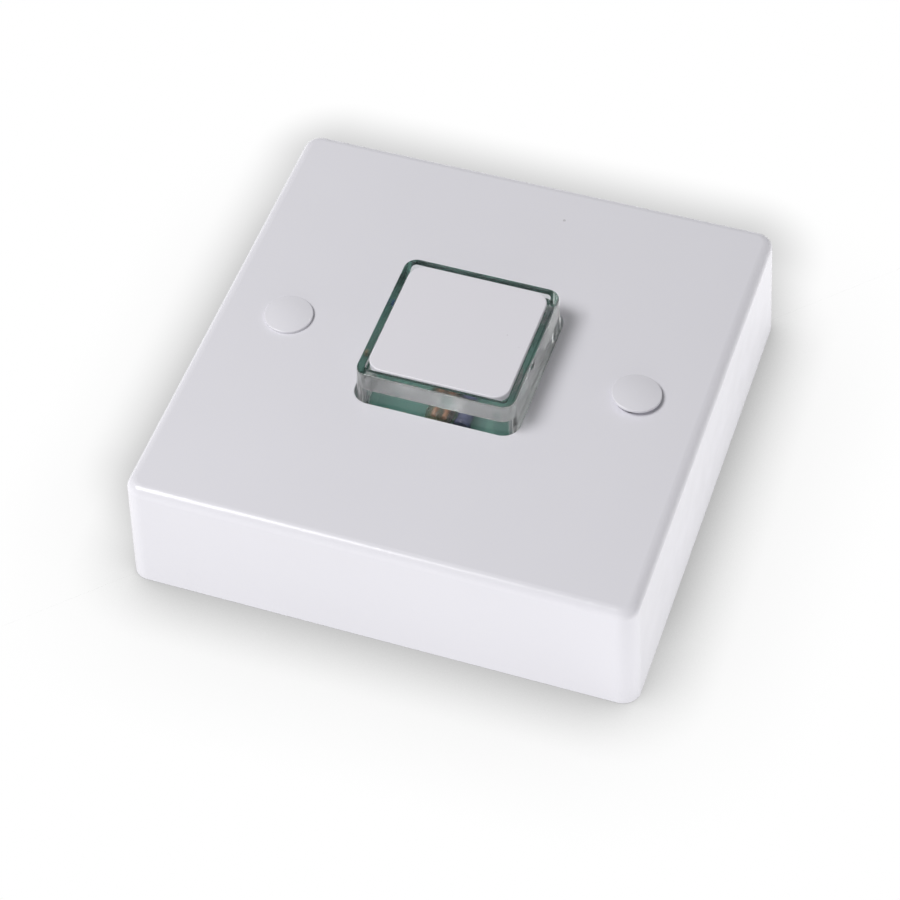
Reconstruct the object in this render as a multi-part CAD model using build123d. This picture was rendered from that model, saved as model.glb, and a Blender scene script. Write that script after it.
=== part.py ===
from build123d import *
import os
from math import radians, tan

# Push-button time delay switch, one gang, surface mounting.
# Millimetres. The origin is the middle of the back, on the wall plane, and +Z points out of the wall.
# Fixing screws lie on the X axis, the cable side is -Y.

# Cover moulding
plate_size = 86.8
side_draft = 2.35
corner_r = 3.0
edge_r = 1.75
wall = 2.2
face_t = 2.4
inner_corner_r = 1.8
rib_t = 1.2
rib_drop = 3.0

# How far a form runs into the one it joins, and a cut past the face it opens
overlap = 0.5
past = 1.0

# Levels through the depth, from the wall outwards
floor_t = 2.2
bay_depth = 11.2
board_t = 1.6
board_drop = 4.8

# Fixing screws, their tubes and pillars
fixing_pitch = 60.3
tube_d = 9.0
counterbore_d = 6.9
seat_t = 2.0
screw_d = 3.5
screw_play = 0.2
screw_head_d = 6.2
screw_head_h = 2.1
screw_end_gap = 1.0
screw_point = 0.5
screw_head_round = 0.8
cover_screw_slot_w = 0.9
cover_screw_slot_d = 0.9
pillar_d = 8.6
pillar_rise = 7.3
insert_d = 5.2
insert_len = 6.0
insert_groove = 0.35
thread_play = 0.03
press_play = 0.02

# Screw caps
cap_d = 8.25
cap_edge_h = 0.42
cap_crown = 0.4
cap_edge_r = 0.18
cap_stem_d = 6.5
cap_stem_wall = 0.9
cap_stem_len = 3.0
cap_slit = 1.0
cap_slit_share = 0.8
left_cap_lift = 0.04
right_cap_lift = 0.6
right_cap_tilt = 5.0
right_cap_high_side = 235.0

# Clear button
aperture = 28.3
aperture_r = 2.9
aperture_edge = 0.2
button_gap = 0.28
button_corner_r = 2.6
button_taper = 2.8
button_rise = 6.0
button_edge = 0.35
button_travel = 1.5
skirt_wall = 1.57
skirt_inside_r = 1.2
ceiling_rise = 1.75
flange_out = 1.35
flange_t = 1.2
flange_play = 0.1
flange_side_play = 0.3
well_wall = 1.3
well_end_gap = 1.2
rim_w = 1.35
recess_depth = 1.0
recess_r = 0.8
recess_play = 0.15
inlay_r = 2.65
inlay_t = 1.25
inlay_edge = 0.2
film_t = 0.05
boss_d = 5.0
spigot_d = 3.2
spigot_len = 4.5
spigot_tip = 0.38

# Return springs
spring_skirt_gap = 1.5
spring_d = 4.4
spring_wire = 0.45
spring_turns = 6
spring_play = 0.05

# Push switch
switch_size = 7.0
switch_h = 5.2
switch_r = 0.5
switch_step = 0.4
switch_pin_x = 2.5
switch_pin_y = 2.2
switch_roof = 1.0
switch_floor = 1.0
plunger_d = 3.4
plunger_play = 0.1
plunger_edge = 0.3
plunger_stop_gap = 0.3
collar_d = 5.0
collar_t = 0.8
collar_play = 0.05
contact_gap = 0.05
plunger_spring_d = 2.8
plunger_spring_wire = 0.25
plunger_spring_turns = 5

# Board and its screws
board_gap = 1.15
board_r = 1.0
wall_pitch = 65.0
slot_w = 4.6
slot_len = 9.0
slot_margin = 1.0
board_screw_inset = 3.0
board_boss_d = 5.0
board_hole_d = 2.6
board_screw_d = 2.2
board_screw_head_d = 4.2
board_screw_head_h = 1.5
board_screw_len = 5.0
board_screw_end_gap = 0.6
board_screw_point = 0.8
board_screw_cross = 2.3

# Back plate
plate_play = 0.25
lip_inset = 1.2
lip_t = 1.4
lip_h = 3.0
entry_w = 26.0
entry_l = 17.0
entry_r = 4.0
entry_y = 1.5
entry_rim_t = 1.4
entry_rim_h = 1.5
gusset_t = 1.2
gusset_out = 3.2
gusset_share = 0.6

# Board parts: leads
lead_d = 0.6
lead_play = 0.15
lead_tail = 0.9
lead_out = 1.3
lead_bend = 0.6
stand_off = 0.4
pin_root = 0.3
axial_end_share = 0.22
axial_end_d_share = 0.86

# Indicator lamp and its resistor
neon_x = -0.4
neon_d = 4.6
neon_switch_gap = 1.0
neon_skirt_gap = 0.6
neon_wall = 0.45
neon_pinch = 1.3
neon_pitch = 1.9
neon_rod_d = 0.8
neon_lead_out = 0.5
neon_bend = 0.4
neon_rod_share = 0.7
neon_resistor_x = 3.6
neon_resistor_d = 2.9
neon_resistor_waist_d = 2.6
neon_resistor_switch_gap = 0.5
neon_resistor_skirt_gap = 1.1

# Terminal block
block_y = -17.0
block_pitch = 7.0
block_ways = 3
block_depth = 10.0
block_clear = 0.8
block_side = 0.8
block_r = 0.8
clamp_w = 4.6
clamp_h = 6.4
clamp_play = 0.15
clamp_edge = 0.4
wire_share = 0.42
wire_bore_d = 3.2
terminal_screw_d = 3.0
terminal_screw_head_d = 4.0
terminal_screw_head_h = 1.4
terminal_screw_len = 3.4
terminal_screw_out = 0.5
terminal_shaft_play = 0.2
clamp_len = 6.6
block_bore_d = 3.8
head_edge = 0.25
screw_slot_w = 0.7
screw_slot_d = 0.8

# Load switch and cooling plate
triac_x = 18.2
triac_y = -4.0
triac_w = 10.0
triac_body_l = 9.0
triac_body_t = 4.4
triac_tab_l = 6.2
triac_tab_t = 1.3
triac_pitch = 2.54
triac_edge = 0.5
triac_hole_share = 0.52
triac_lead_out = 2.2
triac_lead_rise = 1.0
sink_t = 2.4
sink_margin = 0.6
sink_corner = 0.8
sink_screw_d = 3.0
sink_screw_head_d = 5.2
sink_screw_head_h = 1.8

# Other parts on the back of the board
choke_x = 18.5
choke_y = 14.6
choke_d = 9.0
choke_h = 8.0
choke_rim_t = 1.2
choke_wind_d = 7.6
choke_wind_t = 1.6
choke_pitch = 5.0
choke_turns = 8
xcap_x = -6.4
xcap_y = 18.0
xcap_l = 16.0
xcap_w = 9.0
xcap_h = 6.8
xcap_pitch = 12.0
xcap_r = 0.8
xcap_edge = 0.5
can_x = 9.0
can_y = 18.6
can_d = 8.0
can_len = 8.6
can_pitch = 3.5
can_lead_out = 1.2
can_groove = 0.7
can_groove_at = 1.5
can_edge = 0.3
dropper_x = -19.6
dropper_y = 14.0
dropper_d = 4.4
dropper_len = 9.0
varistor_x = -19.2
varistor_y = 1.6
varistor_d = 8.6
varistor_t = 3.6
varistor_pitch = 5.0
varistor_lead_out = 0.9
varistor_edge = 1.26
fuse_x = -18.9
fuse_y = -9.6
fuse_d = 8.4
fuse_h = 7.6
fuse_pitch = 5.0
fuse_edge = 0.6
diode_x = 11.2
diode_y = 7.2
diode_d = 2.6
diode_len = 4.6
diode_pitch = 4.0
diodes = 2
small_resistor_x = -9.6
small_resistor_y = -5.6
small_resistor_d = 2.2
small_resistor_waist_d = 1.9
small_resistor_len = 4.6
small_resistor_pitch = 3.0
small_resistors = 3
chip_x = 0.0
chip_y = 8.0
chip_l = 9.4
chip_w = 6.3
chip_h = 3.3
chip_row = 7.6
chip_pitch = 2.54
chip_legs = 4
chip_draft = 6.0
chip_notch_d = 1.6
leg_t = 0.25
leg_shoulder_w = 1.2
leg_w = 0.5
trimmer_x = -10.6
trimmer_y = 7.4
trimmer_size = 6.6
trimmer_h = 3.4
trimmer_bore_d = 4.2
trimmer_play = 0.06
trimmer_end_gap = 0.3
trimmer_r = 0.5
trimmer_pins = [(-2.5, -2.4), (2.5, -2.4), (0.0, 2.4)]
rotor_head_d = 5.0
rotor_head_h = 0.8
rotor_slot_len = 3.5
rotor_slot_d = 0.6
rotor_shaft_len = 1.8
rotor_gap = 0.1

# Levels and sizes that follow
height = floor_t + bay_depth + board_t + board_drop + face_t
under_z = height - face_t
board_top = under_z - board_drop
board_bottom = board_top - board_t
pillar_top = floor_t + pillar_rise
screw_seat_z = pillar_top + seat_t
cavity_size = plate_size - 2 * wall
fixing_x = fixing_pitch / 2
board_w = fixing_pitch - tube_d - 2 * board_gap
board_l = wall_pitch - slot_len - 2 * slot_margin
well_end_z = board_top + well_end_gap
button_top_z = height + button_rise
flange_top_z = under_z - flange_play
flange_bottom_z = flange_top_z - flange_t
skirt_outside = aperture - 2 * button_gap
skirt_inside = skirt_outside - 2 * skirt_wall
button_top = skirt_outside - 2 * tan(radians(button_taper)) * (button_top_z - flange_top_z)
flange_size = skirt_outside + 2 * flange_out
well_size = flange_size + 2 * flange_side_play
ceiling_z = height + ceiling_rise
recess_floor_z = button_top_z - recess_depth
recess_size = button_top - 2 * rim_w
inlay_size = recess_size - 2 * recess_play
spring_x = skirt_inside / 2 - spring_skirt_gap - spring_d / 2
switch_top_z = board_top + switch_h
collar_top_z = switch_top_z - switch_roof
chamber_d = collar_d + 2 * plunger_play
chamber_floor_z = board_top + switch_floor
plunger_top_z = switch_top_z + button_travel + plunger_stop_gap
lamp_room = (skirt_inside - switch_size) / 2
neon_len = lamp_room - neon_switch_gap - neon_skirt_gap
neon_y = -(switch_size / 2 + neon_switch_gap + neon_len / 2)
neon_resistor_reach = (lamp_room - neon_resistor_switch_gap - neon_resistor_skirt_gap) / 2
neon_resistor_len = 2 * (neon_resistor_reach - lead_out)
neon_resistor_y = -(switch_size / 2 + neon_resistor_switch_gap + neon_resistor_reach)


def rounded_block(width, length, radius, low_z, high_z, taper=0.0):
    """A rounded rectangle raised from low_z to high_z, drawn in by the taper angle."""
    outline = Pos(0, 0, low_z) * RectangleRounded(width, length, radius)
    return extrude(outline, amount=high_z - low_z, taper=taper)


def drafted_block(size, radius, high_z):
    """A square block on the wall plane whose sides lean in and whose corners keep their radius."""
    drawn_in = 2 * high_z * tan(radians(side_draft))
    ends = [RectangleRounded(size, size, radius)]
    ends.append(Pos(0, 0, high_z) * RectangleRounded(size - drawn_in, size - drawn_in, radius))
    return loft(ends, ruled=True)


def rod(diameter, low_z, high_z, x=0.0, y=0.0):
    """A round bar along Z."""
    return Pos(x, y, (low_z + high_z) / 2) * Cylinder(diameter / 2, high_z - low_z)


def turned(points):
    """A solid of revolution about Z from (radius, z) points."""
    outline = make_face(Polyline(*[(r, 0, z) for r, z in points], close=True))
    return revolve(outline, Axis.Z)


def coil(diameter, wire_d, turns, low_z, high_z):
    """A compression spring about Z that fills the height between two seats."""
    rise = high_z - low_z - wire_d
    radius = (diameter - wire_d) / 2
    path = Helix(rise / turns, rise, radius, center=(0, 0, low_z + wire_d / 2))
    section = Plane(origin=path @ 0, z_dir=path % 0) * Circle(wire_d / 2)
    return sweep(section, path, is_frenet=True)


def bent_lead(points, bend_r=lead_bend):
    """A round wire along straight runs joined by bends."""
    path = FilletPolyline(*points, radius=bend_r)
    section = Plane(origin=path @ 0, z_dir=path % 0) * Circle(lead_d / 2)
    return sweep(section, path)


def straight_leads(pins, top):
    """Wires from a part's foot, through the board to their cut ends."""
    return [rod(lead_d, -board_t - lead_tail, top, x, y) for x, y in pins]


def two_pins(pitch, along_y=False):
    """Two holes about the middle of a part."""
    half = pitch / 2
    return [(0, -half), (0, half)] if along_y else [(-half, 0), (half, 0)]


def row(count, pitch):
    """Places of equal parts side by side, about the middle of the row."""
    return [(place - (count - 1) / 2) * pitch for place in range(count)]


def axial_reach(length):
    """From the middle of an axial part to each of its holes."""
    return length / 2 + lead_out


def axial_part(diameter, length, end_d=None):
    """A cylindrical part lying along Y just clear of the board, with bent leads through it."""
    end_d = end_d or diameter
    axis_z = stand_off + max(diameter, end_d) / 2
    half = length / 2
    end_len = length * axial_end_share
    round_len = end_len / 3
    outline = [
        (0, half),
        (end_d / 2 * axial_end_d_share, half),
        (end_d / 2, half - round_len),
        (end_d / 2, half - end_len + round_len),
        (diameter / 2, half - end_len),
    ]
    outline += [(radius, -along) for radius, along in reversed(outline)]
    part = Pos(0, 0, axis_z) * Rot(90, 0, 0) * turned(outline)
    reach = axial_reach(length)
    for side in (-1, 1):
        start = (0, side * (half - overlap), axis_z)
        part += bent_lead([start, (0, side * reach, axis_z), (0, side * reach, -board_t - lead_tail)])
    return part


# Holes of each board part, about its own middle
part_pins = {
    "neon": [(x, neon_len / 2 + neon_lead_out) for x in (-neon_pitch / 2, neon_pitch / 2)],
    "neon_resistor": two_pins(2 * axial_reach(neon_resistor_len), along_y=True),
    "push_switch": [(x, y) for x in (-switch_pin_x, switch_pin_x) for y in (-switch_pin_y, switch_pin_y)],
    "terminal_block": [(x, 0) for x in row(block_ways, block_pitch)],
    "triac": [((lead - 1) * triac_pitch, -triac_body_l / 2 - triac_lead_out) for lead in range(3)],
    "choke": two_pins(choke_pitch),
    "suppression_capacitor": two_pins(xcap_pitch),
    "reservoir_capacitor": [(-can_len / 2 - can_lead_out, y) for y in (-can_pitch / 2, can_pitch / 2)],
    "dropper_resistor": two_pins(2 * axial_reach(dropper_len), along_y=True),
    "varistor": [
        (x, -varistor_d / 2 - varistor_lead_out) for x in (-varistor_pitch / 2, varistor_pitch / 2)
    ],
    "fuse": two_pins(fuse_pitch),
    "timer_chip": [
        (side * chip_row / 2, y) for side in (-1, 1) for y in row(chip_legs, chip_pitch)
    ],
    "trimmer": trimmer_pins,
}


def front(x, y):
    """A place on the front of the board."""
    return Pos(x, y, board_top)


def back(x, y):
    """A place on the back of the board, where a part stands towards the wall."""
    return Pos(x, y, board_bottom) * Rot(180, 0, 0)


neon_at = front(neon_x, neon_y)
neon_resistor_at = front(neon_resistor_x, neon_resistor_y)
switch_at = front(0, 0)
block_at = back(0, block_y)
triac_at = back(triac_x, triac_y)
choke_at = back(choke_x, choke_y)
xcap_at = back(xcap_x, xcap_y)
can_at = back(can_x, can_y)
dropper_at = back(dropper_x, dropper_y)
varistor_at = back(varistor_x, varistor_y)
fuse_at = back(fuse_x, fuse_y)
chip_at = back(chip_x, chip_y)
trimmer_at = back(trimmer_x, trimmer_y)
diodes_at = [back(diode_x + x, diode_y) for x in row(diodes, diode_pitch)]
small_resistors_at = [
    back(small_resistor_x + x, small_resistor_y) for x in row(small_resistors, small_resistor_pitch)
]


def lead_holes():
    """Every place where a lead passes through the board."""
    axial = [(neon_resistor_at, neon_resistor_len), (dropper_at, dropper_len)]
    axial += [(place, diode_len) for place in diodes_at]
    axial += [(place, small_resistor_len) for place in small_resistors_at]
    found = [(place, (0, side * axial_reach(length))) for place, length in axial for side in (-1, 1)]
    by_part = {
        "neon": neon_at,
        "push_switch": switch_at,
        "terminal_block": block_at,
        "triac": triac_at,
        "choke": choke_at,
        "suppression_capacitor": xcap_at,
        "reservoir_capacitor": can_at,
        "varistor": varistor_at,
        "fuse": fuse_at,
        "timer_chip": chip_at,
        "trimmer": trimmer_at,
    }
    found += [(place, pin) for name, place in by_part.items() for pin in part_pins[name]]
    spots = [(place * Pos(*pin)).position for place, pin in found]
    return [(spot.X, spot.Y) for spot in spots]


def board_screw_places():
    """Corners of the board where its screws pass."""
    x = board_w / 2 - board_screw_inset
    y = board_l / 2 - board_screw_inset
    return [(sx * x, sy * y) for sx in (-1, 1) for sy in (-1, 1)]


def group(parts):
    """Separate solids that share a node."""
    return Compound([solid for part in parts for solid in part.solids()])


def front_cover():
    """The deep moulded cover: a drafted shell with a guide well, screw tubes, bosses and ribs."""
    shell = drafted_block(plate_size, corner_r, height)
    shell = fillet(shell.edges().group_by(Axis.Z)[-1], edge_r)
    shell -= drafted_block(cavity_size, inner_corner_r, under_z)
    well_out = well_size + 2 * well_wall
    additions = [rounded_block(well_out, well_out, aperture_r, well_end_z, under_z + overlap)]
    rib_h = rib_drop + overlap
    rib_z = under_z + overlap - rib_h / 2
    wall_x = cavity_size / 2 - under_z * tan(radians(side_draft)) + overlap
    rib_l = wall_x - well_out / 2
    rib_mid = (wall_x + well_out / 2) / 2
    for side in (-1, 1):
        additions.append(rod(tube_d, pillar_top, under_z + overlap, side * fixing_x))
        additions.append(Pos(side * rib_mid, 0, rib_z) * Box(rib_l, rib_t, rib_h))
        for x in (-well_out / 4, well_out / 4):
            additions.append(Pos(x, side * rib_mid, rib_z) * Box(rib_t, rib_l, rib_h))
    for x, y in board_screw_places():
        additions.append(rod(board_boss_d, board_top, under_z + overlap, x, y))
    shell += additions
    shell -= rounded_block(well_size, well_size, aperture_r, well_end_z, under_z)
    shell -= rounded_block(aperture, aperture, aperture_r, under_z - past, height + past)
    rim = shell.edges().filter_by_position(Axis.Z, height - 0.01, height + 0.01)
    near = aperture / 2 + aperture_edge
    rim = [e for e in rim if abs(e.center().X) < near and abs(e.center().Y) < near]
    shell = fillet(rim, aperture_edge)
    for side in (-1, 1):
        x = side * fixing_x
        shell -= rod(counterbore_d, screw_seat_z, height + past, x)
        shell -= rod(screw_d + 2 * screw_play, pillar_top - past, screw_seat_z + past, x)
    bore_end = board_top + board_screw_len - board_t + board_screw_end_gap
    for x, y in board_screw_places():
        shell -= rod(board_screw_d + 2 * thread_play, board_top - past, bore_end, x, y)
    return shell


def back_plate():
    """The moulded plate on the wall: locating lip, screw pillars, cable entry and two fixing slots."""
    size = cavity_size - 2 * plate_play
    plate = rounded_block(size, size, inner_corner_r - plate_play, 0, floor_t)
    lip = size - 2 * lip_inset
    inside = lip - 2 * lip_t
    ring = rounded_block(lip, lip, inner_corner_r, floor_t - overlap, floor_t + lip_h)
    ring -= rounded_block(inside, inside, inner_corner_r, floor_t - past, floor_t + lip_h + past)
    plate += ring
    rim_out_w = entry_w + 2 * entry_rim_t
    rim_out_l = entry_l + 2 * entry_rim_t
    rim_r = entry_r + entry_rim_t
    rim = rounded_block(rim_out_w, rim_out_l, rim_r, floor_t - overlap, floor_t + entry_rim_h)
    plate += Pos(0, entry_y, 0) * rim
    gusset_top = floor_t + pillar_rise * gusset_share
    gusset_h = gusset_top - floor_t + overlap
    for side in (-1, 1):
        x = side * fixing_x
        plate += rod(pillar_d, floor_t - overlap, pillar_top, x)
        for turn in (0, 90):
            web = Box(pillar_d + 2 * gusset_out, gusset_t, gusset_h)
            plate += Pos(x, 0, gusset_top - gusset_h / 2) * Rot(0, 0, turn) * web
        plate -= rod(insert_d + 2 * press_play, pillar_top - insert_len, pillar_top + past, x)
        plate -= rod(screw_d + 2 * screw_play, floor_t + screw_end_gap / 2, pillar_top + past, x)
    plate -= Pos(0, entry_y, 0) * rounded_block(entry_w, entry_l, entry_r, -past, pillar_top)
    for y in (-wall_pitch / 2, wall_pitch / 2):
        slot = Pos(0, y, -past) * Rot(0, 0, 90) * SlotOverall(slot_len, slot_w)
        plate -= extrude(slot, amount=floor_t + 2 * past)
    return plate


def button_cap():
    """The clear button: thick top with a recess, tapered skirt, retaining flange, boss and spigots."""
    cap = rounded_block(
        skirt_outside, skirt_outside, button_corner_r, flange_top_z, button_top_z, button_taper
    )
    cap = fillet(cap.edges().group_by(Axis.Z)[-1], button_edge)
    flange_r = button_corner_r + flange_out
    cap += rounded_block(flange_size, flange_size, flange_r, flange_bottom_z, flange_top_z)
    cap -= rounded_block(skirt_inside, skirt_inside, skirt_inside_r, flange_bottom_z - past, ceiling_z)
    cap -= rounded_block(recess_size, recess_size, recess_r, recess_floor_z, button_top_z + past)
    cap += rod(boss_d, plunger_top_z + contact_gap, ceiling_z + overlap)
    for side in (-1, 1):
        spigot = rod(spigot_d, ceiling_z - spigot_len, ceiling_z + overlap, side * spring_x)
        cap += chamfer(spigot.edges().group_by(Axis.Z)[0], spigot_tip)
    return cap


def button_insert():
    """The white plate that lies in the recess and stands a little proud of the clear rim."""
    low = recess_floor_z + film_t
    plate = rounded_block(inlay_size, inlay_size, inlay_r, low, low + inlay_t)
    return fillet(plate.edges().group_by(Axis.Z)[-1], inlay_edge)


def return_springs():
    """Two springs between the board and the button, round the button's spigots."""
    spring = coil(spring_d, spring_wire, spring_turns, board_top + spring_play, ceiling_z - spring_play)
    return group([Pos(side * spring_x, 0, 0) * spring for side in (-1, 1)])


def push_switch_body():
    """The momentary switch's case, with a stepped bore for its plunger."""
    shoulder = switch_h - switch_step
    upper = switch_size - 2 * switch_step
    body = rounded_block(switch_size, switch_size, switch_r, 0, shoulder)
    body += rounded_block(upper, upper, switch_r, shoulder, switch_h)
    body -= rod(chamber_d, switch_floor, switch_h - switch_roof)
    body -= rod(plunger_d + 2 * plunger_play, switch_floor, switch_h + past)
    body += straight_leads(part_pins["push_switch"], pin_root)
    return switch_at * body


def push_switch_plunger():
    """The switch's plunger: a stem with a collar that the case's roof holds in."""
    low = collar_top_z - collar_play - collar_t
    side = plunger_d / 2
    return turned(
        [
            (0, low),
            (collar_d / 2, low),
            (collar_d / 2, low + collar_t),
            (side, low + collar_t),
            (side, plunger_top_z - plunger_edge),
            (side - plunger_edge, plunger_top_z),
            (0, plunger_top_z),
        ]
    )


def push_switch_spring():
    """The small spring under the plunger's collar."""
    low = chamber_floor_z + spring_play
    high = collar_top_z - collar_play - collar_t - spring_play
    return coil(plunger_spring_d, plunger_spring_wire, plunger_spring_turns, low, high)


def circuit_board():
    """The board, with a hole for each lead and screw."""
    board = rounded_block(board_w, board_l, board_r, board_bottom, board_top)
    low = board_bottom - past
    high = board_top + past
    drills = [rod(lead_d + 2 * lead_play, low, high, x, y) for x, y in lead_holes()]
    drills += [rod(board_hole_d, low, high, x, y) for x, y in board_screw_places()]
    return board - drills


def neon_axis_z():
    """Height of the lamp's axis above the board."""
    return stand_off + neon_d / 2


def neon_lying(part):
    """The lamp's upright parts laid along Y, with the pinched end inwards."""
    return neon_at * Pos(0, neon_len / 2, neon_axis_z()) * Rot(90, 0, 0) * part


def neon_glass():
    """The lamp's envelope: a thin domed tube with a solid pinch."""
    radius = neon_d / 2
    straight = neon_len - radius
    glass = rod(neon_d, 0, straight) + Pos(0, 0, straight) * Sphere(radius)
    glass -= rod(neon_d - 2 * neon_wall, neon_pinch, straight)
    glass -= Pos(0, 0, straight) * Sphere(radius - neon_wall)
    for x in (-neon_pitch / 2, neon_pitch / 2):
        glass -= rod(lead_d + 2 * press_play, -past, neon_pinch + overlap, x)
    return neon_lying(glass)


def neon_electrodes():
    """Two electrodes, each with its lead through the pinch and the board."""
    high = neon_len * neon_rod_share
    electrodes = []
    for x in (-neon_pitch / 2, neon_pitch / 2):
        rod_part = neon_lying(rod(neon_rod_d, neon_pinch, high, x))
        start = (x, neon_len / 2 - neon_pinch - overlap, neon_axis_z())
        bend = (x, neon_len / 2 + neon_lead_out, neon_axis_z())
        end = (x, neon_len / 2 + neon_lead_out, -board_t - lead_tail)
        electrodes.append(rod_part + neon_at * bent_lead([start, bend, end], neon_bend))
    return group(electrodes)


def neon_resistor():
    """The lamp's series resistor, lying beside it."""
    return neon_resistor_at * axial_part(neon_resistor_waist_d, neon_resistor_len, neon_resistor_d)


block_h = bay_depth - block_clear
clamp_low = stand_off
wire_z = clamp_low + clamp_h * wire_share
clamp_top = clamp_low + clamp_h


def terminal_block():
    """The insulating block: a chamber, a wire entry and a screw shaft for each way."""
    width = block_ways * block_pitch + 2 * block_side
    block = rounded_block(width, block_depth, block_r, 0, block_h)
    chamber_top = clamp_top + clamp_play
    shaft_d = terminal_screw_head_d + 2 * terminal_shaft_play
    for x in row(block_ways, block_pitch):
        chamber = Box(clamp_w + 2 * clamp_play, clamp_len + 2 * clamp_play, chamber_top + past)
        block -= Pos(x, 0, (chamber_top - past) / 2) * chamber
        block -= rod(shaft_d, clamp_top - past, block_h + past, x)
        mouth = Cylinder(block_bore_d / 2, block_depth / 2 + past)
        block -= Pos(x, -(block_depth / 2 + past) / 2, wire_z) * Rot(90, 0, 0) * mouth
    return block_at * block


def terminal_clamps():
    """A brass clamp for each way, with its wire bore, screw hole and pin."""
    clamps = []
    for x in row(block_ways, block_pitch):
        clamp = Pos(x, 0, clamp_low + clamp_h / 2) * Box(clamp_w, clamp_len, clamp_h)
        clamp = chamfer(clamp.edges().filter_by(Axis.Z), clamp_edge)
        clamp -= Pos(x, 0, wire_z) * Rot(90, 0, 0) * Cylinder(wire_bore_d / 2, clamp_len + past)
        clamp -= rod(terminal_screw_d + 2 * thread_play, wire_z, clamp_top + past, x)
        clamp += rod(lead_d, -board_t - lead_tail, clamp_low + overlap, x)
        clamps.append(block_at * clamp)
    return group(clamps)


def slotted_head(diameter, thickness, low_z):
    """A cheese head with a driver slot in its top."""
    head = rod(diameter, low_z, low_z + thickness)
    head = chamfer(head.edges().group_by(Axis.Z)[-1], head_edge)
    slot = Box(diameter + past, screw_slot_w, 2 * screw_slot_d)
    return head - Pos(0, 0, low_z + thickness) * slot


def terminal_screws():
    """A slotted screw for each clamp, driven from behind."""
    seat = clamp_top + terminal_screw_out
    screw = slotted_head(terminal_screw_head_d, terminal_screw_head_h, seat)
    screw += rod(terminal_screw_d, seat - terminal_screw_len, seat + overlap / 2)
    return group([block_at * Pos(x, 0, 0) * screw for x in row(block_ways, block_pitch)])


def heatsink():
    """The cooling plate between the load switch and the board."""
    length = triac_body_l + triac_tab_l + 2 * sink_margin
    plate = Pos(0, triac_tab_l / 2, sink_t / 2) * Box(triac_w + 2 * sink_margin, length, sink_t)
    plate = chamfer(plate.edges().filter_by(Axis.Z), sink_corner)
    hole = rod(sink_screw_d + 2 * thread_play, -past, sink_t + past, 0, triac_hole_y())
    return triac_at * (plate - hole)


def triac_hole_y():
    """The middle of the tab's hole."""
    return triac_body_l / 2 + triac_tab_l * triac_hole_share


def triac():
    """The load switch: moulded body, metal tab with a hole, and three leads."""
    body = Pos(0, 0, sink_t + triac_body_t / 2) * Box(triac_w, triac_body_l, triac_body_t)
    body = chamfer(body.edges().group_by(Axis.Z)[-1], triac_edge)
    tab_top = sink_t + triac_tab_t
    tab = Box(triac_w, triac_tab_l + overlap, triac_tab_t)
    body += Pos(0, (triac_body_l + triac_tab_l - overlap) / 2, sink_t + triac_tab_t / 2) * tab
    body -= rod(sink_screw_d + 2 * screw_play, sink_t - past, tab_top + past, 0, triac_hole_y())
    lead_z = tab_top + triac_lead_rise
    for x, y in part_pins["triac"]:
        points = [(x, overlap - triac_body_l / 2, lead_z), (x, y, lead_z), (x, y, -board_t - lead_tail)]
        body += bent_lead(points)
    return triac_at * body


def heatsink_screw():
    """The screw that clamps the tab to the cooling plate."""
    seat = sink_t + triac_tab_t
    screw = slotted_head(sink_screw_head_d, sink_screw_head_h, seat)
    screw += rod(sink_screw_d, stand_off / 2, seat + overlap)
    return triac_at * Pos(0, triac_hole_y(), 0) * screw


def choke_core():
    """The choke's ferrite drum, with two pins."""
    rim = choke_d / 2
    spindle = choke_wind_d / 2 - choke_wind_t
    low = stand_off
    high = stand_off + choke_h
    drum = turned(
        [
            (0, low),
            (rim, low),
            (rim, low + choke_rim_t),
            (spindle, low + choke_rim_t),
            (spindle, high - choke_rim_t),
            (rim, high - choke_rim_t),
            (rim, high),
            (0, high),
        ]
    )
    return choke_at * (drum + straight_leads(part_pins["choke"], low + pin_root))


def choke_winding():
    """Enamelled wire wound in layers between the drum's rims."""
    low = stand_off + choke_rim_t + press_play
    high = stand_off + choke_h - choke_rim_t - press_play
    step = (high - low) / choke_turns
    round_h = step * 0.3
    outer = choke_wind_d / 2
    inner = outer - choke_wind_t + press_play
    points = [(inner, low)]
    for turn in range(choke_turns):
        base = low + turn * step
        points += [(outer - round_h, base), (outer, base + round_h), (outer, base + step - round_h)]
    points += [(outer - round_h, high), (inner, high)]
    return choke_at * turned(points)


def suppression_capacitor():
    """A boxed film capacitor on two leads."""
    case = rounded_block(xcap_l, xcap_w, xcap_r, stand_off, stand_off + xcap_h)
    case = fillet(case.edges().group_by(Axis.Z)[-1], xcap_edge)
    return xcap_at * (case + straight_leads(part_pins["suppression_capacitor"], stand_off + pin_root))


def reservoir_capacitor():
    """An electrolytic can lying on the board, with the rolled groove near its sealed end."""
    rim = can_d / 2
    groove_low = can_groove_at - can_groove / 2
    groove_high = can_groove_at + can_groove / 2
    can = turned(
        [
            (0, 0),
            (rim - can_groove, 0),
            (rim, can_groove),
            (rim, groove_low),
            (rim - can_groove / 2, can_groove_at),
            (rim, groove_high),
            (rim, can_len - can_edge),
            (rim - can_edge, can_len),
            (0, can_len),
        ]
    )
    axis_z = rim + stand_off
    part = Pos(-can_len / 2, 0, axis_z) * Rot(0, 90, 0) * can
    for x, y in part_pins["reservoir_capacitor"]:
        points = [(overlap - can_len / 2, y, axis_z), (x, y, axis_z), (x, y, -board_t - lead_tail)]
        part += bent_lead(points)
    return can_at * part


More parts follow.
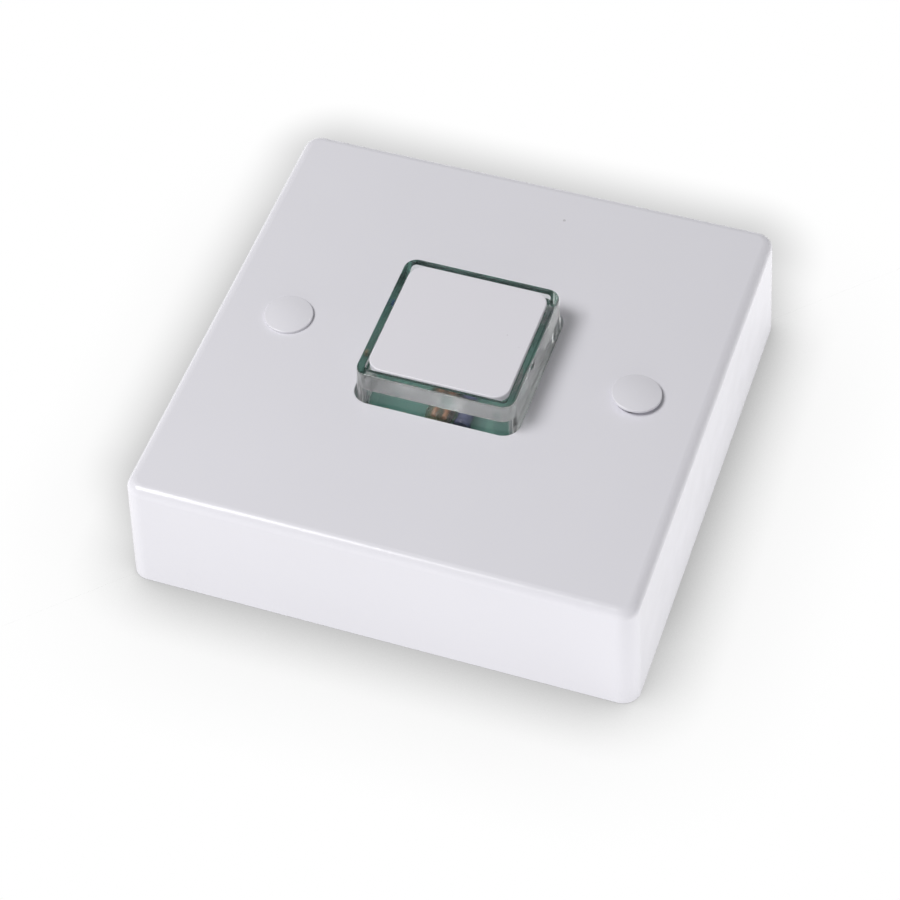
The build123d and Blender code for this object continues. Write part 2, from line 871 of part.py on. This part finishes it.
def varistor():
    """A coated disc lying flat, with two leads bent down to the board."""
    disc = rod(varistor_d, stand_off, stand_off + varistor_t)
    disc = fillet(disc.edges().filter_by(GeomType.CIRCLE), varistor_edge)
    mid = stand_off + varistor_t / 2
    for x, y in part_pins["varistor"]:
        points = [(x, -varistor_d / 4, mid), (x, y, mid), (x, y, -board_t - lead_tail)]
        disc += bent_lead(points)
    return varistor_at * disc


def fuse():
    """A round moulded fuse on two leads."""
    body = rod(fuse_d, stand_off, stand_off + fuse_h)
    body = fillet(body.edges().group_by(Axis.Z)[-1], fuse_edge)
    return fuse_at * (body + straight_leads(part_pins["fuse"], stand_off + pin_root))


def timer_chip():
    """An eight-leg chip: tapered body, index notch and bent legs."""
    mid = stand_off + chip_h / 2
    high = stand_off + chip_h
    body = rounded_block(chip_w, chip_l, leg_t, mid, high, chip_draft)
    body += mirror(body, Plane.XY.offset(mid))
    body -= rod(chip_notch_d, high - overlap, high + past, 0, chip_l / 2)
    shoulder = (chip_row - chip_w + leg_t) / 2 + overlap
    shoulder_x = (chip_row + leg_t) / 2 - shoulder / 2
    leg = mid + leg_t / 2 + board_t + lead_tail
    for x, y in part_pins["timer_chip"]:
        side = 1 if x > 0 else -1
        body += Pos(side * shoulder_x, y, mid) * Box(shoulder, leg_shoulder_w, leg_t)
        body += Pos(x, y, mid + leg_t / 2 - leg / 2) * Box(leg_t, leg_w, leg)
    return chip_at * body


def trimmer_body():
    """The time setting's square case, with a socket for its rotor."""
    body = rounded_block(trimmer_size, trimmer_size, trimmer_r, 0, trimmer_h)
    socket_floor = trimmer_h - rotor_shaft_len - trimmer_end_gap
    body -= rod(trimmer_bore_d, socket_floor, trimmer_h + past)
    return trimmer_at * (body + straight_leads(part_pins["trimmer"], pin_root))


def trimmer_rotor():
    """The rotor, with a cross slot for a screwdriver."""
    low = trimmer_h + rotor_gap
    high = low + rotor_head_h
    rotor = rod(rotor_head_d, low, high)
    rotor += rod(trimmer_bore_d - 2 * trimmer_play, trimmer_h - rotor_shaft_len, high)
    for turn in (0, 90):
        slot = Box(rotor_slot_len, screw_slot_w, 2 * rotor_slot_d)
        rotor -= Pos(0, 0, high) * Rot(0, 0, turn) * slot
    return trimmer_at * rotor


def board_screws():
    """Four pan-head screws through the board into the cover's bosses."""
    head_low = board_bottom - board_screw_head_h
    edge = board_screw_head_d / 2
    screw = turned(
        [
            (0, head_low),
            (edge - board_screw_head_h / 2, head_low),
            (edge, head_low + board_screw_head_h / 2),
            (edge, board_bottom),
            (board_screw_d / 2, board_bottom),
            (board_screw_d / 2, board_bottom + board_screw_len - board_screw_point),
            (0, board_bottom + board_screw_len),
        ]
    )
    cross = Box(board_screw_cross, screw_slot_w, 2 * screw_slot_d)
    for turn in (0, 90):
        screw -= Pos(0, 0, head_low) * Rot(0, 0, turn) * cross
    return group([Pos(x, y, 0) * screw for x, y in board_screw_places()])


def threaded_inserts():
    """Two brass inserts in the back plate's pillars, with their knurled bands."""
    outer = insert_d / 2
    bore = screw_d / 2 + thread_play
    low = pillar_top - insert_len
    mid = pillar_top - insert_len / 2
    insert = turned(
        [
            (bore, low),
            (outer - insert_groove, low),
            (outer, low + insert_groove),
            (outer, mid - 2 * insert_groove),
            (outer - insert_groove, mid - insert_groove),
            (outer - insert_groove, mid + insert_groove),
            (outer, mid + 2 * insert_groove),
            (outer, pillar_top),
            (bore, pillar_top),
        ]
    )
    return group([Pos(side * fixing_x, 0, 0) * insert for side in (-1, 1)])


def cover_screws():
    """Two raised-head screws that hold the cover to the pillars."""
    low = floor_t + screw_end_gap
    edge = screw_head_d / 2
    top = screw_seat_z + screw_head_h
    screw = turned(
        [
            (0, low),
            (screw_d / 2 - screw_point, low),
            (screw_d / 2, low + screw_point),
            (screw_d / 2, screw_seat_z),
            (edge, screw_seat_z),
            (edge, top - screw_head_round),
            (edge - screw_head_round, top - screw_head_round / 4),
            (0, top),
        ]
    )
    slot = Box(screw_head_d + past, cover_screw_slot_w, 2 * cover_screw_slot_d)
    screw -= Pos(0, 0, top) * slot
    return group([Pos(side * fixing_x, 0, 0) * screw for side in (-1, 1)])


def screw_cap():
    """A low domed cap with a slit stem, about its own seat at z = 0."""
    edge = cap_d / 2
    dome_r = (edge**2 + cap_crown**2) / (2 * cap_crown)
    top = cap_edge_h + cap_crown
    cap = rod(cap_d, 0, top) & Pos(0, 0, top - dome_r) * Sphere(dome_r)
    cap = fillet(cap.edges().filter_by_position(Axis.Z, cap_edge_h - 0.01, cap_edge_h + 0.01), cap_edge_r)
    stem = rod(cap_stem_d, -cap_stem_len, cap_edge_h / 2)
    stem -= rod(cap_stem_d - 2 * cap_stem_wall, -cap_stem_len - past, 0)
    slit_h = cap_stem_len * cap_slit_share
    for turn in (0, 90):
        slit = Box(cap_stem_d + past, cap_slit, 2 * slit_h)
        stem -= Pos(0, 0, -cap_stem_len) * Rot(0, 0, turn) * slit
    return cap + stem


def screw_cap_left():
    """The cap that is pressed home."""
    return Pos(-fixing_x, 0, height + left_cap_lift) * screw_cap()


def screw_cap_right():
    """The cap that stands proud, higher on one side, with its stem in the middle of the counterbore."""
    lean = (right_cap_lift + cap_stem_len) / 2 * tan(radians(right_cap_tilt))
    seat = Pos(fixing_x, 0, height + right_cap_lift) * Rot(0, 0, right_cap_high_side) * Pos(-lean, 0, 0)
    return seat * Rot(0, -right_cap_tilt, 0) * Rot(0, 0, -right_cap_high_side) * screw_cap()


def dropper_resistor():
    """The power resistor that drops the supply, lying along Y."""
    return dropper_at * axial_part(dropper_d, dropper_len)


def control_resistors():
    """Small resistors side by side."""
    resistor = axial_part(small_resistor_waist_d, small_resistor_len, small_resistor_d)
    return group([place * resistor for place in small_resistors_at])


def rectifier_diodes():
    """Diodes side by side."""
    return group([place * axial_part(diode_d, diode_len) for place in diodes_at])


nodes = {
    "front_cover": front_cover,
    "back_plate": back_plate,
    "button_cap": button_cap,
    "button_insert": button_insert,
    "return_springs": return_springs,
    "push_switch_body": push_switch_body,
    "push_switch_plunger": push_switch_plunger,
    "push_switch_spring": push_switch_spring,
    "circuit_board": circuit_board,
    "neon_glass": neon_glass,
    "neon_electrodes": neon_electrodes,
    "neon_resistor": neon_resistor,
    "terminal_block": terminal_block,
    "terminal_clamps": terminal_clamps,
    "terminal_screws": terminal_screws,
    "heatsink": heatsink,
    "triac": triac,
    "heatsink_screw": heatsink_screw,
    "choke_core": choke_core,
    "choke_winding": choke_winding,
    "suppression_capacitor": suppression_capacitor,
    "reservoir_capacitor": reservoir_capacitor,
    "dropper_resistor": dropper_resistor,
    "control_resistors": control_resistors,
    "rectifier_diodes": rectifier_diodes,
    "varistor": varistor,
    "fuse": fuse,
    "timer_chip": timer_chip,
    "trimmer_body": trimmer_body,
    "trimmer_rotor": trimmer_rotor,
    "board_screws": board_screws,
    "threaded_inserts": threaded_inserts,
    "cover_screws": cover_screws,
    "screw_cap_left": screw_cap_left,
    "screw_cap_right": screw_cap_right,
}

os.makedirs("parts", exist_ok=True)
for name, make in nodes.items():
    export_step(make(), f"parts/{name}.step")
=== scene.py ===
import math
import bpy
from mathutils import Matrix, Vector


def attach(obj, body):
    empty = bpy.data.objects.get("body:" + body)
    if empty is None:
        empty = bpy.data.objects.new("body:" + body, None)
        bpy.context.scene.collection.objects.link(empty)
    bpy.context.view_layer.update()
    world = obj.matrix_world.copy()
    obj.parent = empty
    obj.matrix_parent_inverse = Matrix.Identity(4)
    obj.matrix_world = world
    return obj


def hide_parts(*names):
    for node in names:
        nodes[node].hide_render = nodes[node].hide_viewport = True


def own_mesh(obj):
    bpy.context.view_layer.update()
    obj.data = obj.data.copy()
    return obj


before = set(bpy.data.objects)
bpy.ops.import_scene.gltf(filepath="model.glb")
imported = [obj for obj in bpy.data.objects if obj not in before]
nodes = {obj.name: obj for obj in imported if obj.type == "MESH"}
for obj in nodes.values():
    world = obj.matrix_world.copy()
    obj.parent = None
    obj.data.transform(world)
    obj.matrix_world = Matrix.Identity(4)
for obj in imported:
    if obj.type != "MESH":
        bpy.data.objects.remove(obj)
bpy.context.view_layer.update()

# Camera at the photograph's viewing angle, in degrees, metres and pixels
AZIMUTH = 21.145
ELEVATION = 50.483
ROLL = -2.889
DISTANCE = 0.46566
SIDEWAYS = -0.002324
UPWARD = -0.001379
FOCAL_PX = 2725.25
FRAME_PX = 900
SENSOR_MM = 36.0
NEAR_CLIP = 0.01

# Even light from all around
WORLD_LEVEL = 0.23

# Soft lights: direction, distance, width and height in metres, watts, and whether gloss shows them
SOFT_LIGHTS = {
    "key_left": ((-0.45, -0.28, 0.85), 0.9, 0.40, 0.40, 5.6, True),
    "front_fill": ((0.05, -0.97, 0.16), 0.8, 0.9, 0.3, 0.9, False),
    "right_fill": ((0.97, -0.05, 0.14), 0.8, 0.9, 0.3, 0.5, False),
}

# Daylight under the button's insert: a lamp's width and height above the wall, its watts, and the
# strength of the painted glow on the insert's underside
INSERT_LAMP_SIZE = 0.022
INSERT_LAMP_Z = 0.0238
INSERT_LAMP_POWER = 0.0012
INSERT_GLOW = 0.6

# The floor's half width, and how far it lies under the object
FLOOR_REACH = 12.0
FLOOR_DROP = 0.0001

# The object's soft shadow on the floor: how far its close and wide parts reach, the share of white
# that each can take away, and the share that neither takes
SHADOW_REACH = 0.012
WIDE_SHADOW_REACH = 0.030
SHADOW_SHARE = 0.62
WIDE_SHADOW_SHARE = 0.28
OPEN_SHARE = 0.105
SHADOW_SAMPLES = 8

# Light that the pale table throws up at the sides, where 1 is white, and how much more at the
# right, where it sets in between these places along X and Y
BOUNCE = 1.2
BOUNCE_RIGHT = 0.75
BOUNCE_X = (0.040, 0.050)
BOUNCE_Y = (-0.10, -0.03)

# A broad darkening painted on the floor behind and to the left, where the photograph has one:
# its middle, half width, soft reach and depth
HALO_MIDDLE = (-0.0061, 0.0183)
HALO_HALF = 0.0385
HALO_REACH = 0.018
HALO_DEPTH = 0.42

# Most of a noise texture's values lie between these
NOISE_LOW = 0.3
NOISE_HIGH = 0.7

# Features to the metre: clouds in plastic, its relief when smooth or grained, and metal's grain
CLOUD_SCALE = 90.0
SMOOTH_SCALE = 260.0
GRAIN_SCALE = 2600.0
METAL_SCALE = 900.0

WHITE = (0.81, 0.80, 0.85)
INSERT_WHITE = (0.815, 0.80, 0.85)
SPECK_GREY = (0.35, 0.33, 0.33)
SPECK_RADIUS = 0.028

# Normals lower than this face down
FACES_DOWN = -0.5

# Refractive indices of the clear button and the lamp's glass
ACRYLIC_INDEX = 1.49
GLASS_INDEX = 1.5

# The clear button: half the width between its walls, the heights where its rim and its ceiling
# begin, then the roughness of its inner faces below the ceiling, of those from there to the rim,
# and of the rim
BUTTON_INNER = (0.0121, 0.0275, 0.0239, 0.05, 0.20, 0.15)
# The share of lamp light that gets down through its walls
BUTTON_EDGE_SHARE = 0.15

# Light crosses the clear button by many total reflections
ALL_BOUNCES = 20
CLEAR_BOUNCES = 16


def place_camera():
    """The camera stands where the photograph was taken from."""
    turn, rise, roll = (math.radians(v) for v in (AZIMUTH, ELEVATION, ROLL))
    ahead = math.cos(rise)
    back = Vector((math.sin(turn) * ahead, -math.cos(turn) * ahead, math.sin(rise)))
    level = Vector((math.cos(turn), math.sin(turn), 0))
    above = back.cross(level)
    right = level * math.cos(roll) + above * math.sin(roll)
    up = above * math.cos(roll) - level * math.sin(roll)
    place = back * DISTANCE + right * SIDEWAYS + up * UPWARD
    camera = bpy.data.objects.new("camera", bpy.data.cameras.new("camera"))
    camera.data.sensor_width = SENSOR_MM
    camera.data.lens = FOCAL_PX / FRAME_PX * SENSOR_MM
    camera.data.clip_start = NEAR_CLIP
    axes = Matrix((right, up, back)).transposed()
    camera.matrix_world = Matrix.Translation(place) @ axes.to_4x4()
    bpy.context.scene.collection.objects.link(camera)
    bpy.context.scene.camera = camera


class Nodes:
    """A material's node tree, with short calls to add and join nodes."""

    def __init__(self, name):
        self.material = bpy.data.materials.new(name)
        self.material.use_nodes = True
        self.tree = self.material.node_tree
        self.tree.nodes.clear()
        self.output = self.add("ShaderNodeOutputMaterial")
        self.place = self.add("ShaderNodeTexCoord").outputs["Object"]

    def add(self, kind, **values):
        """A node, with its properties or inputs set by name."""
        node = self.tree.nodes.new(kind)
        for key, value in values.items():
            if hasattr(node, key):
                setattr(node, key, value)
            else:
                self.feed(node.inputs[key.replace("_", " ")], value)
        return node

    def feed(self, socket, value):
        """Sets a socket, or joins another node's output to it."""
        if isinstance(value, bpy.types.NodeSocket):
            self.tree.links.new(value, socket)
        else:
            socket.default_value = value

    def noise(self, scale, detail=2.0):
        """Soft noise from 0 to 1, with scale in features to the metre."""
        made = self.add("ShaderNodeTexNoise", Scale=scale, Detail=detail)
        self.feed(made.inputs["Vector"], self.place)
        return made.outputs["Fac"]

    def spread(self, value, low, high, to_low, to_high):
        """A value carried from one range to another."""
        made = self.add(
            "ShaderNodeMapRange", Value=value,
            From_Min=low, From_Max=high, To_Min=to_low, To_Max=to_high,
        )
        return made.outputs["Result"]

    def uneven(self, scale, detail, low, high):
        """Noise that fills a range."""
        return self.spread(self.noise(scale, detail), NOISE_LOW, NOISE_HIGH, low, high)

    def mix(self, share, first, second):
        """Two colours mixed by a share."""
        made = self.tree.nodes.new("ShaderNodeMix")
        made.data_type = "RGBA"
        self.feed(made.inputs["Factor"], share)
        self.feed(made.inputs["A"], first)
        self.feed(made.inputs["B"], second)
        return made.outputs["Result"]

    def math(self, operation, first, second=0.0):
        """Arithmetic on two values."""
        made = self.add("ShaderNodeMath", operation=operation)
        self.feed(made.inputs[0], first)
        self.feed(made.inputs[1], second)
        return made.outputs[0]

    def parts(self, vector):
        """The node that holds a vector's X, Y and Z."""
        made = self.add("ShaderNodeSeparateXYZ")
        self.feed(made.inputs[0], vector)
        return made

    def specks(self, colour, scale, spacing, rarity, strength):
        """A colour with tiny round grey specks here and there."""
        cells = self.add("ShaderNodeTexVoronoi", Scale=scale)
        self.feed(cells.inputs["Vector"], self.place)
        near = self.math("LESS_THAN", cells.outputs["Distance"], SPECK_RADIUS)
        rare = self.math("GREATER_THAN", self.noise(spacing, 1.0), rarity)
        share = self.math("MULTIPLY", self.math("MULTIPLY", near, rare), strength)
        return self.mix(share, colour, rgba(SPECK_GREY))

    def bump(self, height, strength, distance):
        """Surface relief, with distance in metres."""
        made = self.add("ShaderNodeBump", Strength=strength, Distance=distance)
        self.feed(made.inputs["Height"], height)
        return made.outputs["Normal"]

    def choose(self, share, first, second):
        """The first shader at a share of 0 and the second at 1, on the output."""
        both = self.add("ShaderNodeMixShader")
        self.feed(both.inputs[0], share)
        self.feed(both.inputs[1], first.outputs[0])
        self.feed(both.inputs[2], second.outputs[0])
        self.feed(self.output.inputs["Surface"], both.outputs["Shader"])

    def finish(self, **inputs):
        """The main shader, with inputs by name, on the output."""
        shader = self.add("ShaderNodeBsdfPrincipled")
        for key, value in inputs.items():
            self.feed(shader.inputs[key.replace("_", " ")], value)
        self.feed(self.output.inputs["Surface"], shader.outputs["BSDF"])
        return self.material


def rgba(colour, gain=1.0):
    """A colour as a socket takes it, made lighter or darker."""
    return (*[min(1.0, c * gain) for c in colour], 1.0)


def plastic(name, colour, roughness, mottle, grain=0.0):
    """Moulded plastic: faint clouds, uneven gloss, and a fine grain if it has one."""
    n = Nodes(name)
    cloud = n.uneven(CLOUD_SCALE, 3.0, 0.0, 1.0)
    shade = n.mix(cloud, rgba(colour, 1 - mottle), rgba(colour, 1 + mottle))
    gloss = n.uneven(CLOUD_SCALE * 4, 2.0, roughness * 0.85, roughness * 1.15)
    relief = n.bump(n.noise(GRAIN_SCALE if grain else SMOOTH_SCALE), 0.25 + grain, 0.00002)
    return n.finish(Base_Color=shade, Roughness=gloss, Normal=relief)


def white_gloss():
    """The cover's glossy white, with a few tiny specks."""
    n = Nodes("white_gloss")
    shade = n.mix(n.uneven(30.0, 3.0, 0.0, 1.0), rgba(WHITE, 0.99), rgba(WHITE, 1.01))
    shade = n.specks(shade, 95.0, 41.0, 0.60, 0.4)
    gloss = n.uneven(160.0, 3.0, 0.21, 0.27)
    relief = n.bump(n.noise(220.0), 0.12, 0.00003)
    return n.finish(Base_Color=shade, Roughness=gloss, Normal=relief, Specular_IOR_Level=0.5)


def clear_plastic(name, colour, roughness, index, inner=None, edge_share=1.0):
    """Clear moulded plastic through which lamp light passes.

    Inner gives half a width, a top, a ceiling and three roughnesses: within that width the faces
    up to the ceiling take the first and those from there to the top the second, and all faces
    above the top take the third. Beyond the width less light passes.
    """
    n = Nodes(name)
    relief = n.bump(n.noise(300.0), 0.1, 0.00002)
    gloss = n.uneven(700.0, 2.0, roughness, roughness * 2)
    share = rgba(colour)
    if inner:
        half, top, ceiling, side_roughness, flat_roughness, rim_roughness = inner
        at = n.parts(n.place).outputs
        across = [n.math("LESS_THAN", n.math("ABSOLUTE", at[axis]), half) for axis in "XY"]
        middle = n.math("MULTIPLY", *across)
        low = n.math("LESS_THAN", at["Z"], top)
        flat = n.math("GREATER_THAN", at["Z"], ceiling)
        inside = n.spread(flat, 0.0, 1.0, side_roughness, flat_roughness)
        gloss = n.spread(n.math("MULTIPLY", middle, low), 0.0, 1.0, gloss, inside)
        gloss = n.spread(low, 0.0, 1.0, rim_roughness, gloss)
        share = n.mix(middle, rgba(colour, edge_share), rgba(colour))
    shader = n.add("ShaderNodeBsdfPrincipled", Base_Color=rgba(colour), Roughness=gloss, IOR=index)
    n.feed(shader.inputs["Normal"], relief)
    shader.inputs["Transmission Weight"].default_value = 1.0
    clear = n.add("ShaderNodeBsdfTransparent")
    n.feed(clear.inputs["Color"], share)
    n.choose(n.add("ShaderNodeLightPath").outputs["Is Shadow Ray"], shader, clear)
    return n.material


def metal(name, colour, roughness):
    """Drawn, plated or turned metal with fine uneven gloss."""
    n = Nodes(name)
    tone = n.uneven(METAL_SCALE, 3.0, 0.0, 1.0)
    shade = n.mix(tone, rgba(colour, 0.88), rgba(colour, 1.08))
    gloss = n.uneven(METAL_SCALE * 1.7, 3.0, roughness * 0.7, roughness * 1.4)
    relief = n.bump(n.noise(METAL_SCALE * 3), 0.15, 0.00001)
    return n.finish(Base_Color=shade, Roughness=gloss, Normal=relief, Metallic=1.0)


def painted_glow_insert():
    """The insert's white, with a painted glow on its underside that stands for the light it would
    let through.
    """
    n = Nodes("insert_white")
    cloud = n.uneven(30.0, 3.0, 0.0, 1.0)
    shade = n.mix(cloud, rgba(INSERT_WHITE, 0.994), rgba(INSERT_WHITE, 1.006))
    shade = n.specks(shade, 230.0, 90.0, 0.55, 0.35)
    normal = n.parts(n.add("ShaderNodeNewGeometry").outputs["True Normal"])
    below = n.math("LESS_THAN", normal.outputs["Z"], FACES_DOWN)
    return n.finish(
        Base_Color=shade,
        Roughness=n.uneven(120.0, 2.0, 0.19, 0.25),
        Normal=n.bump(n.noise(260.0), 0.25, 0.00002),
        # Painted glow: faces that point down emit light, though the insert is no lamp
        Emission_Color=(1, 1, 1, 1),
        Emission_Strength=n.math("MULTIPLY", below, INSERT_GLOW),
    )


def circuit_green():
    """Solder mask over copper tracks: lighter where a track runs under it."""
    n = Nodes("circuit_green")
    wave = n.add(
        "ShaderNodeTexWave", wave_type="BANDS", bands_direction="X", Scale=60.0, Distortion=1.5
    )
    n.feed(wave.inputs["Vector"], n.place)
    track = n.math("GREATER_THAN", wave.outputs["Fac"], 0.62)
    broken = n.math("GREATER_THAN", n.noise(150.0, 1.0), 0.45)
    share = n.math("MULTIPLY", track, broken)
    return n.finish(
        Base_Color=n.mix(share, rgba((0.09, 0.24, 0.20)), rgba((0.13, 0.31, 0.26))),
        Roughness=n.uneven(900.0, 2.0, 0.28, 0.40),
        Normal=n.bump(share, 0.3, 0.00004),
    )


def dress_nodes():
    """Every CAD node gets its material."""
    white = white_gloss()
    black = plastic("black_epoxy", (0.02, 0.02, 0.022), 0.45, 0.10, grain=0.3)
    brass = metal("brass", (0.70, 0.50, 0.20), 0.28)
    steel = metal("plated_steel", (0.62, 0.62, 0.64), 0.30)
    finishes = {
        "front_cover": white,
        "screw_cap_left": white,
        "screw_cap_right": white,
        "button_insert": painted_glow_insert(),
        "back_plate": plastic("back_plate_white", (0.74, 0.745, 0.76), 0.45, 0.02, grain=0.3),
        "button_cap": clear_plastic(
            "clear_button", (0.985, 0.995, 0.99), 0.045, ACRYLIC_INDEX,
            BUTTON_INNER, BUTTON_EDGE_SHARE,
        ),
        "return_springs": metal("spring_steel", (0.55, 0.55, 0.56), 0.25),
        "push_switch_body": black,
        "push_switch_plunger": plastic("natural_nylon", (0.68, 0.66, 0.60), 0.40, 0.03),
        "push_switch_spring": steel,
        "circuit_board": circuit_green(),
        "neon_glass": clear_plastic("lamp_glass", (1.0, 0.84, 0.70), 0.16, GLASS_INDEX),
        "neon_electrodes": plastic("lamp_electrode", (0.95, 0.66, 0.50), 0.40, 0.06),
        "neon_resistor": plastic("resistor_blue", (0.06, 0.075, 0.16), 0.22, 0.08),
        "terminal_block": plastic("terminal_green", (0.09, 0.30, 0.15), 0.40, 0.04, grain=0.3),
        "terminal_clamps": brass,
        "terminal_screws": steel,
        "heatsink": metal("aluminium", (0.78, 0.78, 0.80), 0.38),
        "triac": black,
        "heatsink_screw": steel,
        "choke_core": plastic("ferrite", (0.07, 0.068, 0.068), 0.60, 0.10, grain=0.5),
        "choke_winding": metal("copper_wire", (0.62, 0.22, 0.08), 0.30),
        "suppression_capacitor": plastic(
            "capacitor_yellow", (0.66, 0.50, 0.06), 0.42, 0.04, grain=0.3
        ),
        "reservoir_capacitor": plastic("capacitor_sleeve", (0.02, 0.035, 0.11), 0.25, 0.10),
        "dropper_resistor": plastic("resistor_ceramic", (0.40, 0.47, 0.46), 0.60, 0.06, grain=0.4),
        "control_resistors": plastic("resistor_tan", (0.58, 0.42, 0.25), 0.30, 0.06),
        "rectifier_diodes": black,
        "varistor": plastic("varistor_blue", (0.03, 0.10, 0.38), 0.28, 0.06),
        "fuse": plastic("fuse_brown", (0.10, 0.045, 0.03), 0.40, 0.08, grain=0.3),
        "timer_chip": black,
        "trimmer_body": plastic("trimmer_blue", (0.03, 0.11, 0.42), 0.35, 0.05),
        "trimmer_rotor": plastic("rotor_white", (0.72, 0.71, 0.68), 0.40, 0.03),
        "board_screws": steel,
        "threaded_inserts": brass,
        "cover_screws": steel,
    }
    for name, material in finishes.items():
        mesh = nodes[name].data
        mesh.materials.clear()
        mesh.materials.append(material)


def squashing_spring(name, node):
    """The spring as a piece of its own, attached to the housing, in place of its CAD node."""
    piece = bpy.data.objects.new(name, nodes[node].data.copy())
    bpy.context.scene.collection.objects.link(piece)
    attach(piece, "housing")
    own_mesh(piece)
    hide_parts(node)


def floor_shade(n, at):
    """How white the floor shows: less under the object's edge and in the painted darkening."""
    near = n.add("ShaderNodeAmbientOcclusion", samples=SHADOW_SAMPLES, Distance=SHADOW_REACH)
    wide = n.add("ShaderNodeAmbientOcclusion", samples=SHADOW_SAMPLES, Distance=WIDE_SHADOW_REACH)
    shade = n.math(
        "ADD",
        n.math("MULTIPLY", near.outputs["AO"], SHADOW_SHARE),
        n.math("MULTIPLY", wide.outputs["AO"], WIDE_SHADOW_SHARE),
    )
    shade = n.math("ADD", shade, OPEN_SHARE)
    outside = []
    for axis, middle in zip("XY", HALO_MIDDLE):
        off = n.math("ABSOLUTE", n.math("SUBTRACT", at[axis], middle))
        beyond = n.math("MAXIMUM", n.math("SUBTRACT", off, HALO_HALF), 0.0)
        outside.append(n.math("POWER", beyond, 2.0))
    halo = n.add(
        "ShaderNodeMapRange", interpolation_type="SMOOTHSTEP",
        Value=n.math("SQRT", n.math("ADD", *outside)),
        From_Min=0.0, From_Max=HALO_REACH, To_Min=HALO_DEPTH, To_Max=0.0,
    )
    left = n.math("SUBTRACT", 1.0, halo.outputs["Result"])
    return n.math("MINIMUM", n.math("MULTIPLY", shade, left), 1.0)


def floor():
    """A plain pale floor that shows white and keeps the object's shadow."""
    turns = ((-1, -1), (1, -1), (1, 1), (-1, 1))
    corners = [(x * FLOOR_REACH, y * FLOOR_REACH, 0) for x, y in turns]
    mesh = bpy.data.meshes.new("floor")
    mesh.from_pydata(corners, [], [(0, 1, 2, 3)])
    plane = bpy.data.objects.new("floor", mesh)
    plane.location.z = -FLOOR_DROP
    bpy.context.scene.collection.objects.link(plane)
    n = Nodes("floor_white")
    at = n.parts(n.place).outputs
    rightward = n.spread(at["X"], *BOUNCE_X, 0.0, BOUNCE_RIGHT)
    backward = n.spread(at["Y"], *BOUNCE_Y, 0.0, 1.0)
    bounce = n.math("ADD", n.math("MULTIPLY", rightward, backward), BOUNCE)
    path = n.add("ShaderNodeLightPath")
    level = n.spread(path.outputs["Is Diffuse Ray"], 0.0, 1.0, floor_shade(n, at), bounce)
    # From below the floor isn't there, so the back of the part can be seen
    n.choose(
        n.add("ShaderNodeNewGeometry").outputs["Backfacing"],
        n.add("ShaderNodeEmission", Strength=level),
        n.add("ShaderNodeBsdfTransparent"),
    )
    n.material.cycles.emission_sampling = "NONE"
    mesh.materials.append(n.material)


def soft_light(name, toward, distance, width, height, power, mirrored):
    """A rectangular soft light that faces the object from a direction."""
    data = bpy.data.lights.new(name, "AREA")
    data.shape = "RECTANGLE"
    data.size = width
    data.size_y = height
    data.energy = power
    lamp = bpy.data.objects.new(name, data)
    lamp.visible_glossy = mirrored
    direction = Vector(toward).normalized()
    lamp.location = direction * distance
    lamp.rotation_mode = "QUATERNION"
    lamp.rotation_quaternion = direction.to_track_quat("Z", "Y")
    bpy.context.scene.collection.objects.link(lamp)


def through_insert():
    """The daylight that the thin white insert lets down into the button."""
    data = bpy.data.lights.new("through_insert", "AREA")
    data.size = INSERT_LAMP_SIZE
    data.energy = INSERT_LAMP_POWER
    lamp = bpy.data.objects.new("through_insert", data)
    lamp.location = (0, 0, INSERT_LAMP_Z)
    for kind in ("camera", "glossy", "transmission"):
        setattr(lamp, "visible_" + kind, False)
    bpy.context.scene.collection.objects.link(lamp)


def lights():
    """Plain soft studio light: an even surround, a key from the front left and two low fills."""
    world = bpy.data.worlds.new("surround")
    bpy.context.scene.world = world
    world.use_nodes = True
    ground = world.node_tree.nodes["Background"]
    ground.inputs["Color"].default_value = (1, 1, 1, 1)
    ground.inputs["Strength"].default_value = WORLD_LEVEL
    for name, values in SOFT_LIGHTS.items():
        soft_light(name, *values)
    through_insert()


place_camera()
dress_nodes()
squashing_spring("return_springs_drawn", "return_springs")
squashing_spring("switch_spring_drawn", "push_switch_spring")
floor()
lights()
bpy.context.scene.view_settings.view_transform = "Standard"
bpy.context.scene.cycles.max_bounces = ALL_BOUNCES
bpy.context.scene.cycles.glossy_bounces = CLEAR_BOUNCES
bpy.context.scene.cycles.transmission_bounces = CLEAR_BOUNCES
